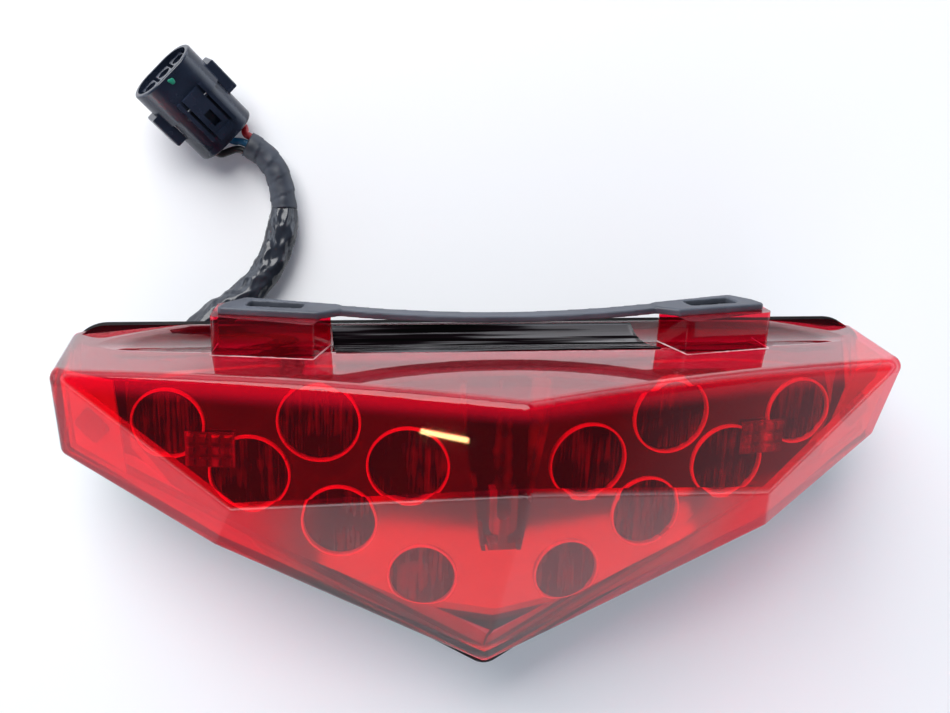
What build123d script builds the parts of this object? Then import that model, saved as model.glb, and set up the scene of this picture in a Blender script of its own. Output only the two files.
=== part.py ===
"""Motorcycle tail light: a faceted red lens over a black tub, with its lead and plug.

The light lies on the back of its tub. +X is to the right, +Y towards the top of the
vehicle and +Z out of the lens. Millimetres and degrees throughout.
"""
import math
import os

from build123d import *

os.makedirs("parts", exist_ok=True)

# ---- lens -----------------------------------------------------------------------
tip_y = -50.5              # bottom tip of the lens
datum_z = 33.0             # height of that tip above the ground
half_breadth = 112.0       # half the room that the lens needs sideways
rim_z = 29.0               # seam between lens and tub
lens_wall = 2.6
lens_round = 3.0           # soft edges between the facets
tilt = 17.9                # the vehicle's upright leans this far out of the seam plane
crown_up = 92.9            # height of the top panel at the middle
crown_radius = 1100.0      # its gentle arch
panel_end_y = 92.0         # where the top panel stops at the ends
flange_y = 94.3
flange_half = 108.6
flange_straight = 100.0
flange_height = 5.0
# Hollow behind the top panel, seen from the side: depth into the lens and height
hollow = ((86.0, 40.0), (87.3, 23.0), (90.4, 8.0), (95.6, 0.6))
flange_corner = 9.0

# ---- tub ------------------------------------------------------------------------
tub_wall = 2.5
lip_width = 0.9            # the tub's lip shows as a thin line around the lens
lip_height = 4.0
lip_overlap = 1.5          # the lip reaches this far up the lens
lip_play = 0.1
seal_height = 1.0
tub_floor_z = 3.0
tub_inset = 9.0            # the tub is this much smaller than the lens
tub_taper = 12.0
boss_radius = 8.0
boss_spacing = 120.0
boss_y = 14.0
foot_y = -26.0
insert_radius = 4.0
insert_hole = 2.6          # M6 core
insert_depth = 12.0

# ---- inside ---------------------------------------------------------------------
bezel_front = 7.5          # carrier plate ahead of the tip, at the middle
bezel_sweep = 0.15         # and how fast it falls back towards the ends
bezel_thickness = 2.0
board_drop = 8.5           # boards behind the carrier plate
board_thickness = 1.6
cup_wall = 0.6
cup_rise = 0.6             # the cups stand this far out of the plate
disc_thickness = 1.6
disc_sink = 0.5            # the back of each disc is this far behind the plate's back
flute_width = 1.3
flute_height = 0.8
flute_count = 7
screw_radius = 1.5
screw_reach = 6.5
post_radius = 3.2
gap = 0.3                  # working gap between neighbours
baffle_inset = 6.0         # side baffles inside the side facets
baffle_thickness = 1.3
baffle_inner = 94.0

# ---- damper and blocks ----------------------------------------------------------
block_top_up = 100.5
damper_thickness = 1.9
strip_width = 4.5
strip_thickness = 1.7
strip_sag = 2.3

# ---- lead and plug --------------------------------------------------------------
lead_diameter = 8.4
wire_diameter = 2.1
plug_width = 18.8
plug_height = 12.4
hood_width = 20.4
hood_height = 14.2
plug_length = 26.0
hood_length = 11.8
plug_tilt = 28.0
plug_heading = 137.0       # the way the plug points, from +X
latch_width = 5.6
latch_length = 15.0
latch_thickness = 1.5

lean = math.radians(tilt)
upright = Vector(0, math.cos(lean), math.sin(lean))
forward = Vector(0, -math.sin(lean), math.cos(lean))
vehicle = Plane(origin=(0, tip_y, datum_z), x_dir=(1, 0, 0), z_dir=forward)


def from_tip(x, y, z):
    """A point measured from the bottom tip of the lens."""
    return Vector(x, tip_y + y, datum_z + z)


def on_vehicle(x, up, ahead):
    """A point from the sideways, upright and forward distances of the vehicle."""
    return vehicle.from_local_coords(Vector(x, up, ahead))


def level_plane(up):
    """The plane square to the upright; its y runs backwards."""
    return Plane(origin=on_vehicle(0, up, 0), x_dir=(1, 0, 0), z_dir=upright)


def bezel_plane(side, lift=0.0):
    """One swept half of the carrier plate, lifted towards the lens."""
    across = Vector(1, 0, -bezel_sweep * side)
    ahead = Vector(bezel_sweep * side, 0, 1)
    x_dir = across.X * Vector(1, 0, 0) + across.Z * forward
    z_dir = (ahead.X * Vector(1, 0, 0) + ahead.Z * forward).normalized()
    start = on_vehicle(0, 0, bezel_front) + z_dir * lift
    return Plane(origin=start, x_dir=x_dir, z_dir=z_dir)


# Corners of the right half of the lens, from the bottom tip
prow_top = from_tip(0, 75.6, 68.2)
prow_crease = from_tip(0, 55.0, 64.9)
tip = from_tip(0, 0, -2.0)
brow_end = from_tip(109.0, 83.0, 28.0)
side_end = from_tip(110.6, 62.0, 7.0)
edge_kink = from_tip(71.0, 40.0, 25.0)
panel_end = from_tip(109.0, panel_end_y, 0)


def facet(corners, side, inset):
    """The plane of a facet, facing out, moved inwards by the inset."""
    points = [Vector(side * corner.X, corner.Y, corner.Z) for corner in corners]
    normal = (points[1] - points[0]).cross(points[2] - points[0]).normalized()
    if normal.Z < 0:
        normal = normal * -1
    return Plane(origin=points[0] - normal * inset, z_dir=normal)


def lens_body(inset, floor_z):
    """The faceted body of the lens, with sharp edges, smaller by the inset."""
    with BuildPart() as body:
        with BuildSketch(Plane.XY.offset(floor_z)):
            with BuildLine():
                Polyline(
                    (-panel_end.X, panel_end.Y),
                    (-side_end.X, side_end.Y),
                    (tip.X, tip.Y),
                    (side_end.X, side_end.Y),
                    (panel_end.X, panel_end.Y),
                )
                Polyline(
                    (panel_end.X, panel_end.Y),
                    (flange_straight, tip_y + flange_y),
                    (-flange_straight, tip_y + flange_y),
                    (-panel_end.X, panel_end.Y),
                )
            make_face()
            if inset:
                offset(amount=-inset, kind=Kind.INTERSECTION)
        extrude(amount=datum_z + prow_top.Z - floor_z)
        for side in (-1, 1):
            split(bisect_by=facet((prow_top, prow_crease, brow_end), side, inset), keep=Keep.BOTTOM)
            split(bisect_by=facet((prow_crease, tip, edge_kink), side, inset), keep=Keep.BOTTOM)
            split(bisect_by=facet((brow_end, side_end, edge_kink), side, inset), keep=Keep.BOTTOM)
        with BuildSketch(vehicle):
            with Locations((0, crown_up - inset - crown_radius)):
                Circle(crown_radius)
        extrude(amount=2 * crown_up, both=True, mode=Mode.INTERSECT)
        cove = [(tip_y + y - inset, datum_z + z) for y, z in hollow]
        far_y = tip_y + 2 * panel_end_y
        with BuildSketch(Plane.YZ):
            with BuildLine():
                Spline(*cove)
                Polyline(
                    cove[-1],
                    (far_y, cove[-1][1]),
                    (far_y, datum_z + crown_up),
                    (cove[0][0], datum_z + crown_up),
                    cove[0],
                )
            make_face()
        extrude(amount=2 * half_breadth, both=True, mode=Mode.SUBTRACT)
    return body.part


# ---- outer lens -----------------------------------------------------------------
block_corners = ((46.8, -7.0), (71.3, 1.0), (69.5, 13.0), (41.4, 5.0))
block_depth = 12.0
block_round = 1.6


def flange_outline(grow):
    """The plan of the flange behind the top panel, grown by the given amount."""
    depth = 3 * flange_corner
    with BuildSketch() as outline:
        with Locations((0, tip_y + flange_y - depth / 2)):
            Rectangle(2 * flange_half, depth)
        fillet(outline.vertices().group_by(Axis.Y)[-1], radius=flange_corner)
        if grow:
            offset(amount=grow)
    return outline.sketch


with BuildPart() as outer_lens:
    add(lens_body(0, rim_z))
    soft_edges = outer_lens.edges() - outer_lens.faces().sort_by(Axis.Z)[0].edges()
    fillet(soft_edges, radius=lens_round)
    with BuildSketch(Plane.XY.offset(rim_z)):
        add(flange_outline(0))
    extrude(amount=flange_height)
    for side in (-1, 1):
        with BuildSketch(level_plane(crown_up - block_depth)) as block:
            with BuildLine():
                Polyline(*[(side * across, back) for across, back in block_corners], close=True)
            make_face()
            fillet(block.vertices(), radius=block_round)
        extrude(amount=block_top_up - crown_up + block_depth)
    add(lens_body(lens_wall, rim_z - 1), mode=Mode.SUBTRACT)
outer_lens.part.label = "outer_lens"
export_step(outer_lens.part, "parts/outer_lens.step")

# ---- tub, seal and mounting inserts ---------------------------------------------
lens_plan = [
    (-panel_end.X, panel_end.Y),
    (-side_end.X, side_end.Y),
    (tip.X, tip.Y),
    (side_end.X, side_end.Y),
    (panel_end.X, panel_end.Y),
]


def plan_outline(grow, corner=0.0):
    """The plan of the lens without its flange, grown or shrunk, its end corners rounded."""
    with BuildSketch() as outline:
        with BuildLine():
            Polyline(*lens_plan, close=True)
        make_face()
        offset(amount=grow, kind=Kind.INTERSECTION)
        if corner:
            rows = outline.vertices().group_by(Axis.Y)
            fillet(rows[0] + rows[-1], radius=corner)
    return outline.sketch


boss_places = ((-boss_spacing / 2, boss_y), (boss_spacing / 2, boss_y))
boss_height = tub_floor_z + 14.0
foot_height = tub_floor_z + 1.0
floor_round = 2.5
vent_place = (40.0, 20.0, tub_floor_z)
vent_radius = 3.0
gland_radius = 6.0
post_places = ((76.5, 61.0), (64.0, 77.5), (30.0, 77.5), (25.0, 46.5))
board_back = -board_drop
board_front = board_back + board_thickness

lead_exit = Vector(-82.0, 36.5, 8.0)
lead_first = Vector(-77.5, 44.5, 6.4)
lead_axis = (lead_first - lead_exit).normalized()
gland_length = 17.0
gland_nose = 8.0
gland_nose_radius = lead_diameter / 2 + 1.3
gland_plane = Plane(origin=lead_exit, z_dir=lead_axis * -1)

with BuildPart() as tub_form:
    with BuildSketch(Plane.XY.offset(rim_z - lip_height)):
        add(plan_outline(-tub_inset))
    extrude(amount=tub_floor_z - rim_z + lip_height, taper=tub_taper)
    fillet(tub_form.faces().sort_by(Axis.Z)[0].edges(), radius=floor_round)

with BuildPart() as post_room:
    add(tub_form.part)
    with BuildSketch(Plane.XY.offset(rim_z - lip_height)):
        add(plan_outline(-tub_inset))
    extrude(amount=crown_up)

with BuildPart() as rear_housing:
    with BuildSketch(Plane.XY.offset(rim_z - lip_height)):
        add(plan_outline(lip_width, lens_round + 3 * lip_width))
        add(flange_outline(lip_width))
    extrude(amount=lip_height + lip_overlap)
    with BuildSketch(Plane.XY.offset(rim_z - seal_height)):
        add(plan_outline(lip_play, lens_round))
        add(flange_outline(lip_play))
    extrude(amount=lip_height, mode=Mode.SUBTRACT)
    add(tub_form.part)
    with Locations((0, foot_y, 0)):
        Cylinder(boss_radius, foot_height, align=(Align.CENTER, Align.CENTER, Align.MIN))
    with BuildSketch(Plane.XY.offset(rim_z - seal_height)):
        add(plan_outline(-tub_inset - tub_wall))
    extrude(
        amount=tub_floor_z + tub_wall - rim_z + seal_height,
        taper=tub_taper,
        mode=Mode.SUBTRACT,
    )
    with Locations(*[(x, y, 0) for x, y in boss_places]):
        Cylinder(boss_radius, boss_height, align=(Align.CENTER, Align.CENTER, Align.MIN))
        Cylinder(insert_radius, 2 * insert_depth, mode=Mode.SUBTRACT)
    for side in (-1, 1):
        backing = bezel_plane(side, board_back)
        with BuildPart(mode=Mode.PRIVATE) as posts:
            for across, up in post_places:
                head = backing.from_local_coords(Vector(side * across, up, 0))
                with Locations((head.X, head.Y, foot_height)):
                    Cylinder(post_radius, crown_up, align=(Align.CENTER, Align.CENTER, Align.MIN))
            split(bisect_by=backing, keep=Keep.BOTTOM)
            add(post_room.part, mode=Mode.INTERSECT)
        add(posts.part)
        for across, up in post_places:
            head = Plane(
                origin=backing.from_local_coords(Vector(side * across, up, 0)),
                x_dir=backing.x_dir,
                z_dir=backing.z_dir,
            )
            with Locations(head):
                Cylinder(screw_radius, 2 * screw_reach, mode=Mode.SUBTRACT)
    with BuildSketch(gland_plane):
        Circle(gland_radius)
    extrude(amount=gland_length + tub_wall, mode=Mode.SUBTRACT)
    with Locations(vent_place):
        Cylinder(vent_radius, 4 * tub_wall, mode=Mode.SUBTRACT)
rear_housing.part.label = "rear_housing"
export_step(rear_housing.part, "parts/rear_housing.step")

with BuildPart() as lens_seal:
    with BuildSketch(Plane.XY.offset(rim_z - seal_height)):
        add(plan_outline(-lip_play, lens_round))
        add(plan_outline(-lens_wall), mode=Mode.SUBTRACT)
    extrude(amount=seal_height)
lens_seal.part.label = "lens_seal"
export_step(lens_seal.part, "parts/lens_seal.step")

with BuildPart() as mount_inserts:
    with Locations(*[(x, y, 0) for x, y in boss_places]):
        Cylinder(insert_radius, insert_depth, align=(Align.CENTER, Align.CENTER, Align.MIN))
    fillet(mount_inserts.edges().filter_by(GeomType.CIRCLE).group_by(Axis.Z)[0], radius=0.4)
    with Locations(*[(x, y, 0) for x, y in boss_places]):
        Cylinder(insert_hole, 3 * insert_depth, mode=Mode.SUBTRACT)
mount_inserts.part.label = "mount_inserts"
export_step(mount_inserts.part, "parts/mount_inserts.step")

with BuildPart() as breather_cap:
    with Locations(vent_place):
        Cylinder(vent_radius - 0.05, 3 * tub_wall)
        Cylinder(2 * vent_radius - 0.5, 2.4, align=(Align.CENTER, Align.CENTER, Align.MAX))
    fillet(breather_cap.faces().sort_by(Axis.Z)[0].edges(), radius=0.8)
breather_cap.part.label = "breather_cap"
export_step(breather_cap.part, "parts/breather_cap.step")

with BuildPart() as lead_gland:
    with Locations(gland_plane):
        Cone(
            gland_nose_radius,
            gland_radius - 0.05,
            gland_nose,
            align=(Align.CENTER, Align.CENTER, Align.MIN),
        )
        with Locations((0, 0, gland_nose)):
            Cylinder(
                gland_radius - 0.05,
                gland_length - gland_nose,
                align=(Align.CENTER, Align.CENTER, Align.MIN),
            )
lead_gland.part.label = "lead_gland"
export_step(lead_gland.part, "parts/lead_gland.step")

# ---- carrier plate, cups and fluted discs ---------------------------------------
# Sideways and upright place of each optic on the right half, and its radius
optics = (
    (83.0, 72.3, 9.3),
    (45.5, 74.0, 10.6),
    (23.1, 62.9, 10.6),
    (63.0, 59.4, 10.4),
    (40.4, 47.1, 9.8),
    (18.9, 32.2, 9.1),
)
plate_outline = (
    (-0.6, 15.0), (52.0, 37.5), (76.0, 51.0), (93.0, 63.0), (93.0, 83.5), (60.0, 87.5), (-0.6, 89.5),
)
inner_room = lens_body(lens_wall + 0.4, rim_z - 1)
for side in (-1, 1):
    behind_baffle = baffle_inset + baffle_thickness + gap
    side_facet = facet((brow_end, side_end, edge_kink), side, behind_baffle)
    beyond = Box(
        4 * half_breadth,
        4 * half_breadth,
        half_breadth,
        align=(Align.CENTER, Align.CENTER, Align.MIN),
    )
    inner_room = inner_room - (side_facet * beyond)


def half_plate(side, lift, thickness, points, inset):
    """A flat plate on one swept half, trimmed to fit inside the lens."""
    with BuildPart() as plate:
        with BuildSketch(bezel_plane(side, lift)):
            with BuildLine():
                Polyline(*[(side * across, up) for across, up in points], close=True)
            make_face()
        extrude(amount=thickness)
        add(lens_body(lens_wall + inset, rim_z - 1), mode=Mode.INTERSECT)
        add(inner_room, mode=Mode.INTERSECT)
    return plate.part


with BuildPart() as carrier_plate:
    for side in (-1, 1):
        add(half_plate(side, 0, bezel_thickness, plate_outline, 0.6))
    for side in (-1, 1):
        for across, up, radius in optics:
            with BuildSketch(bezel_plane(side)):
                with Locations((side * across, up)):
                    Circle(radius)
            extrude(amount=2 * bezel_thickness, both=True, mode=Mode.SUBTRACT)
carrier_plate.part.label = "carrier_plate"
export_step(carrier_plate.part, "parts/carrier_plate.step")

with BuildPart() as reflector_cups:
    for side in (-1, 1):
        for across, up, radius in optics:
            with BuildSketch(bezel_plane(side, board_front)):
                with Locations((side * across, up)):
                    Circle(radius - 0.05)
                    Circle(radius - cup_wall, mode=Mode.SUBTRACT)
            extrude(amount=-board_front + bezel_thickness + cup_rise)
    add(inner_room, mode=Mode.INTERSECT)
reflector_cups.part.label = "reflector_cups"
export_step(reflector_cups.part, "parts/reflector_cups.step")

with BuildPart() as fluted_discs:
    for side in (-1, 1):
        for across, up, radius in optics:
            inner = radius - cup_wall - 0.05
            with BuildSketch(bezel_plane(side, -disc_sink)):
                with Locations((side * across, up)):
                    Circle(inner)
            extrude(amount=disc_thickness)
            with BuildSketch(bezel_plane(side, disc_thickness - disc_sink)) as ribs:
                with Locations((side * across, up)):
                    with GridLocations(2 * flute_width, 1, flute_count, 1):
                        Rectangle(flute_width, 2 * inner)
                    Circle(inner - flute_width / 3, mode=Mode.INTERSECT)
            extrude(amount=flute_height)
    add(inner_room, mode=Mode.INTERSECT)
fluted_discs.part.label = "fluted_discs"
export_step(fluted_discs.part, "parts/fluted_discs.step")

# ---- boards, light sources and their parts --------------------------------------
board_outline = (
    (4.0, 22.0), (50.0, 40.0), (78.0, 53.0), (92.0, 66.0), (92.0, 81.0), (60.0, 84.5), (4.0, 86.0),
)
for side, name in ((-1, "circuit_board_left"), (1, "circuit_board_right")):
    with BuildPart() as board:
        add(half_plate(side, board_back, board_thickness, board_outline, 1.8))
        for across, up in post_places:
            with BuildSketch(bezel_plane(side, board_back)):
                with Locations((side * across, up)):
                    Circle(screw_radius + gap)
            extrude(amount=2 * board_thickness, both=True, mode=Mode.SUBTRACT)
    board.part.label = name
    export_step(board.part, "parts/" + name + ".step")

source_width = 3.4
source_height = 1.0
dome_radius = 1.3
dome_height = 0.7
dome_taper = 20.0

with BuildPart() as light_sources:
    for side in (-1, 1):
        for across, up, radius in optics:
            with BuildSketch(bezel_plane(side, board_front)):
                with Locations((side * across, up)):
                    Rectangle(source_width, source_width)
            extrude(amount=source_height)
            with BuildSketch(bezel_plane(side, board_front + source_height)):
                with Locations((side * across, up)):
                    Circle(dome_radius)
            extrude(amount=dome_height, taper=dome_taper)
light_sources.part.label = "light_sources"
export_step(light_sources.part, "parts/light_sources.step")

chip_length = 4.0
chip_width = 2.6
chip_height = 1.1
chip_places = ((10.0, 48.0), (64.5, 72.5), (10.0, 76.0), (32.0, 33.5))
with BuildPart() as board_chips:
    for side in (-1, 1):
        for across, up in chip_places:
            with BuildSketch(bezel_plane(side, board_front)):
                with Locations((side * across, up)):
                    RectangleRounded(chip_length, chip_width, chip_width / 8)
            extrude(amount=chip_height)
board_chips.part.label = "board_chips"
export_step(board_chips.part, "parts/board_chips.step")

head_radius = 2.6
head_height = 1.7
shank_length = 6.0

with BuildPart() as board_screws:
    for side in (-1, 1):
        for across, up in post_places:
            with BuildSketch(bezel_plane(side, board_front)):
                with Locations((side * across, up)):
                    Circle(head_radius)
            extrude(amount=head_height)
            with BuildSketch(bezel_plane(side, board_front - shank_length)):
                with Locations((side * across, up)):
                    Circle(screw_radius - 0.03)
            extrude(amount=shank_length)
board_screws.part.label = "board_screws"
export_step(board_screws.part, "parts/board_screws.step")

# ---- middle cover and clip ------------------------------------------------------
cover_bottom_up = 43.0
cover_top_up = 87.0
cover_bottom_half = 5.0
cover_top_half = 12.0
cover_front = bezel_front + bezel_thickness + 0.1
cover_height = 5.0
cover_floor = 1.5
cover_side = 1.2
clip_seat = cover_front + cover_floor
clip_width = 7.0
clip_length = 13.0
clip_height = 4.6
clip_wall = 1.7
clip_up = 54.5
clip_foot_up = 44.6


def cover_outline(inset):
    """The tapering outline of the middle cover, narrower and longer by the inset."""
    low = cover_bottom_up - inset
    high = cover_top_up + inset
    with BuildSketch() as outline:
        with BuildLine():
            Polyline(
                (-cover_bottom_half + inset, low),
                (cover_bottom_half - inset, low),
                (cover_top_half - inset, high),
                (-cover_top_half + inset, high),
                close=True,
            )
        make_face()
    return outline.sketch


with BuildPart() as middle_cover:
    with BuildSketch(vehicle.offset(cover_front)):
        add(cover_outline(0))
    extrude(amount=cover_height)
    with BuildSketch(vehicle.offset(clip_seat)):
        add(cover_outline(cover_side))
    extrude(amount=cover_height, mode=Mode.SUBTRACT)
middle_cover.part.label = "middle_cover"
export_step(middle_cover.part, "parts/middle_cover.step")

with BuildPart() as middle_clip:
    with BuildSketch(vehicle.offset(clip_seat)):
        with Locations((0, clip_up)):
            RectangleRounded(clip_width, clip_length, 2.2)
        with Locations((0, clip_up + 2.5)):
            RectangleRounded(clip_width - 2 * clip_wall, 10.0, 1.7, mode=Mode.SUBTRACT)
        with Locations((0, clip_up + clip_length - 1.5)):
            Rectangle(clip_width + 1, clip_length, mode=Mode.SUBTRACT)
        with Locations((0, clip_foot_up)):
            Rectangle(clip_width, 1.8)
        with Locations((0, clip_foot_up + 2.2)):
            Rectangle(2.4, 4.0)
    extrude(amount=clip_height)
middle_clip.part.label = "middle_clip"
export_step(middle_clip.part, "parts/middle_clip.step")

# ---- side baffles, side reflectors and grids ------------------------------------
reflector_length = 8.0
reflector_width = 9.0
reflector_height = 1.8
reflector_round = 1.5
grid_place = (72.5, 66.0)
grid_pitch = 3.1
grid_square = 2.2
grid_columns = 4
grid_rows = 3
grid_backing = 0.5
grid_lift = bezel_thickness + cup_rise + 0.1

for side, end_name in ((-1, "left"), (1, "right")):
    side_facet = facet((brow_end, side_end, edge_kink), side, baffle_inset)
    with BuildPart() as baffle:
        add(lens_body(lens_wall + 2 * gap, rim_z))
        split(bisect_by=side_facet, keep=Keep.BOTTOM)
        split(bisect_by=side_facet.offset(-baffle_thickness), keep=Keep.TOP)
        split(
            bisect_by=Plane(origin=(side * baffle_inner, 0, 0), z_dir=(side, 0, 0)),
            keep=Keep.TOP,
        )
        split(bisect_by=Plane.XY.offset(rim_z + seal_height), keep=Keep.TOP)
    baffle.part.label = "side_baffle_" + end_name
    export_step(baffle.part, "parts/side_baffle_" + end_name + ".step")
    seat = Plane(
        origin=side_facet.offset(0.05).origin,
        x_dir=Vector(0, 0, 1).cross(side_facet.z_dir),
        z_dir=side_facet.z_dir,
    )
    middle = seat.to_local_coords(from_tip(side * 99.5, 71.0, 12.0))
    with BuildPart() as reflector:
        with BuildSketch(seat):
            with Locations((middle.X, middle.Y)):
                RectangleRounded(reflector_length, reflector_width, reflector_round)
        extrude(amount=reflector_height)
        front_face = reflector.faces().sort_by(Axis(seat.origin, seat.z_dir))[-1]
        fillet(front_face.edges(), radius=reflector_height / 3)
    reflector.part.label = "side_reflector_" + end_name
    export_step(reflector.part, "parts/side_reflector_" + end_name + ".step")

with BuildPart() as reflex_grids:
    for side in (-1, 1):
        place = (side * grid_place[0], grid_place[1])
        with BuildSketch(bezel_plane(side, grid_lift)):
            with Locations(place):
                Rectangle(grid_columns * grid_pitch, grid_rows * grid_pitch)
        extrude(amount=grid_backing)
        with BuildSketch(bezel_plane(side, grid_lift + grid_backing)):
            with Locations(place):
                with GridLocations(grid_pitch, grid_pitch, grid_columns, grid_rows):
                    Rectangle(grid_square, grid_square)
        extrude(amount=grid_square / 2, taper=18)
reflex_grids.part.label = "reflex_grids"
export_step(reflex_grids.part, "parts/reflex_grids.step")

# ---- rubber damper over the two blocks ------------------------------------------
# Outlines of the right cap and of its slot: sideways and backwards
cap_outline = ((45.2, -2.6), (69.9, 2.3), (67.8, 6.8), (62.8, 11.4), (44.5, 6.0), (39.5, 4.6), (39.5, 0.0))
slot_outline = ((49.4, 1.1), (62.8, 3.6), (61.6, 8.4), (48.2, 5.4))
strip_reach = 42.5
strip_top = block_top_up + damper_thickness
damper_edge = 0.5

with BuildPart() as rubber_damper:
    for side in (-1, 1):
        with BuildSketch(level_plane(block_top_up)) as cap:
            with BuildLine():
                Polyline(*[(side * across, back) for across, back in cap_outline], close=True)
            make_face()
            fillet(cap.vertices(), radius=1.2)
        extrude(amount=damper_thickness)
    tops = rubber_damper.faces().filter_by(Plane(origin=(0, 0, 0), z_dir=upright))
    fillet(tops.sort_by(Axis((0, 0, 0), upright))[-2:].edges(), radius=damper_edge)
    for side in (-1, 1):
        with BuildSketch(level_plane(block_top_up - 1)) as slot:
            with BuildLine():
                Polyline(*[(side * across, back) for across, back in slot_outline], close=True)
            make_face()
            fillet(slot.vertices(), radius=0.8)
        extrude(amount=damper_thickness + 2, mode=Mode.SUBTRACT)
    with BuildSketch(vehicle.offset(-strip_width)):
        with BuildLine():
            ThreePointArc(
                (-strip_reach, strip_top), (0, strip_top - strip_sag), (strip_reach, strip_top),
            )
            Line((strip_reach, strip_top), (strip_reach, strip_top - strip_thickness))
            ThreePointArc(
                (strip_reach, strip_top - strip_thickness),
                (0, strip_top - strip_thickness - strip_sag),
                (-strip_reach, strip_top - strip_thickness),
            )
            Line((-strip_reach, strip_top - strip_thickness), (-strip_reach, strip_top))
        make_face()
    extrude(amount=strip_width)
rubber_damper.part.label = "rubber_damper"
export_step(rubber_damper.part, "parts/rubber_damper.step")

# ---- lead ------------------------------------------------------------------------
lead_route = [
    lead_exit,
    lead_first,
    Vector(-65.5, 51.0, 5.0),
    Vector(-57.0, 61.5, 5.0),
    Vector(-53.0, 74.5, 5.0),
    Vector(-54.5, 87.0, 5.0),
    Vector(-59.0, 93.7, 5.0),
    Vector(-63.6, 96.0, 5.0),
]


def corner_radii(route):
    """The largest easy arc at each corner of a route."""
    radii = []
    for before, corner, after in zip(route, route[1:], route[2:]):
        first = corner - before
        second = after - corner
        turn = math.radians(first.get_angle(second))
        radii.append(0.45 * min(first.length, second.length) / math.tan(turn / 2))
    return radii


def tube(route, diameter):
    """A plain tube along straight runs joined by tangent arcs."""
    with BuildPart() as made:
        with BuildLine() as path:
            FilletPolyline(*route, radius=corner_radii(route))
        section = Plane(origin=route[0], z_dir=route[1] - route[0])
        with BuildSketch(section):
            Circle(diameter / 2)
        sweep(path=path.wires()[0])
    length = path.wires()[0].length
    print("radii", [round(radius, 1) for radius in corner_radii(route)])
    print("length", round(length, 1), "volume", round(made.part.volume, 1),
          "expected", round(length * math.pi * diameter ** 2 / 4, 1))
    return made.part


harness_sleeve = tube(lead_route, lead_diameter)
harness_sleeve.label = "harness_sleeve"
export_step(harness_sleeve, "parts/harness_sleeve.step")

# ---- plug ------------------------------------------------------------------------
heading = math.radians(plug_heading)
rise = math.radians(plug_tilt)
plug_axis = Vector(
    math.cos(heading) * math.cos(rise), math.sin(heading) * math.cos(rise), math.sin(rise)
)
plug_back = Vector(-69.5, 98.3, 5.5)
plug = Plane(origin=plug_back, x_dir=(-math.sin(heading), math.cos(heading), 0), z_dir=plug_axis)
plug_line = Axis(plug_back, plug_axis)
cell_pitch = 5.4
cell_radius = 1.9
cell_width = 4.4
cell_height = 6.6
cell_round = 0.6
hood_start = plug_length - hood_length
cavity_depth = 6.5
cavity_wall = 1.3
seal_face = 0.3
latch_start = 3.5
rail_start = latch_start + 1.0
rail_length = 14.0
rail_height = 3.2
rail_offset = latch_width / 2 + 1.4
rail_width = 1.1
latch_low = hood_height / 2 + gap
latch_window = 2.4
thumb_edge = 1.1
pin_radius = 0.5
pin_height = latch_low + latch_thickness / 2
pin_along = hood_start + 1.0
wing_start = hood_start - 5.4
wing_end = hood_start + 4.8
wing_inner = 8.7
wing_outer = 12.0
wing_half = 2.9


def along_plug(distance):
    """The cross-section plane of the plug at a distance from its back."""
    return plug.offset(distance)


pin_plane = Plane(
    origin=plug.from_local_coords(Vector(0, pin_height, pin_along)),
    x_dir=plug_axis,
    z_dir=plug.x_dir,
)

with BuildPart() as plug_housing:
    with BuildSketch(plug):
        SlotOverall(plug_width, plug_height)
    extrude(amount=hood_start)
    with BuildSketch(along_plug(hood_start)):
        SlotOverall(hood_width, hood_height)
    extrude(amount=hood_length)
    fillet(plug_housing.faces().sort_by(plug_line)[0].edges(), radius=0.8)
    fillet(plug_housing.faces().sort_by(plug_line)[-1].edges(), radius=0.6)
    with BuildSketch(along_plug(plug_length - cavity_depth)):
        SlotOverall(hood_width - 2 * cavity_wall, hood_height - 2 * cavity_wall)
    extrude(amount=cavity_depth + 1, mode=Mode.SUBTRACT)
    with BuildSketch(along_plug(plug_length - cavity_depth - 1)):
        with GridLocations(cell_pitch, 1, 3, 1):
            RectangleRounded(cell_width, cell_height, cell_round)
    extrude(amount=cavity_depth)
    with BuildSketch(plug):
        with GridLocations(cell_pitch, 1, 3, 1):
            Circle(cell_radius)
    extrude(amount=2 * plug_length, both=True, mode=Mode.SUBTRACT)
    with BuildSketch(along_plug(rail_start)):
        with Locations((0, plug_height / 2 + 1.0)):
            with GridLocations(2 * rail_offset, 1, 2, 1):
                Rectangle(rail_width, rail_height)
    extrude(amount=rail_length)
    with Locations(pin_plane):
        Cylinder(pin_radius + 0.05, 2 * rail_offset + 4, mode=Mode.SUBTRACT)
    with BuildSketch(along_plug(wing_start - gap)):
        for end in (-1, 1):
            with Locations((end * (wing_inner - gap + 2.0), 0)):
                Rectangle(4.0, 2 * wing_half + 2 * gap)
    extrude(amount=wing_end - wing_start + 2 * gap, mode=Mode.SUBTRACT)
plug_housing.part.label = "plug_housing"
export_step(plug_housing.part, "parts/plug_housing.step")

with BuildPart() as plug_latch:
    with BuildSketch(along_plug(latch_start)):
        with Locations((0, latch_low + latch_thickness / 2)):
            Rectangle(latch_width, latch_thickness)
    extrude(amount=latch_length)
    with BuildSketch(along_plug(latch_start + 3.5)):
        with Locations((0, latch_low + latch_thickness / 2)):
            Rectangle(latch_window, latch_thickness + 1)
    extrude(amount=2 * latch_window, mode=Mode.SUBTRACT)
    with BuildSketch(along_plug(latch_start)):
        with Locations((0, latch_low + latch_thickness + 0.3)):
            Rectangle(latch_width, thumb_edge)
    extrude(amount=2 * thumb_edge)
    with Locations(pin_plane):
        Cylinder(pin_radius, 2 * rail_offset + rail_width - 0.1)
plug_latch.part.label = "plug_latch"
export_step(plug_latch.part, "parts/plug_latch.step")

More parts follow.
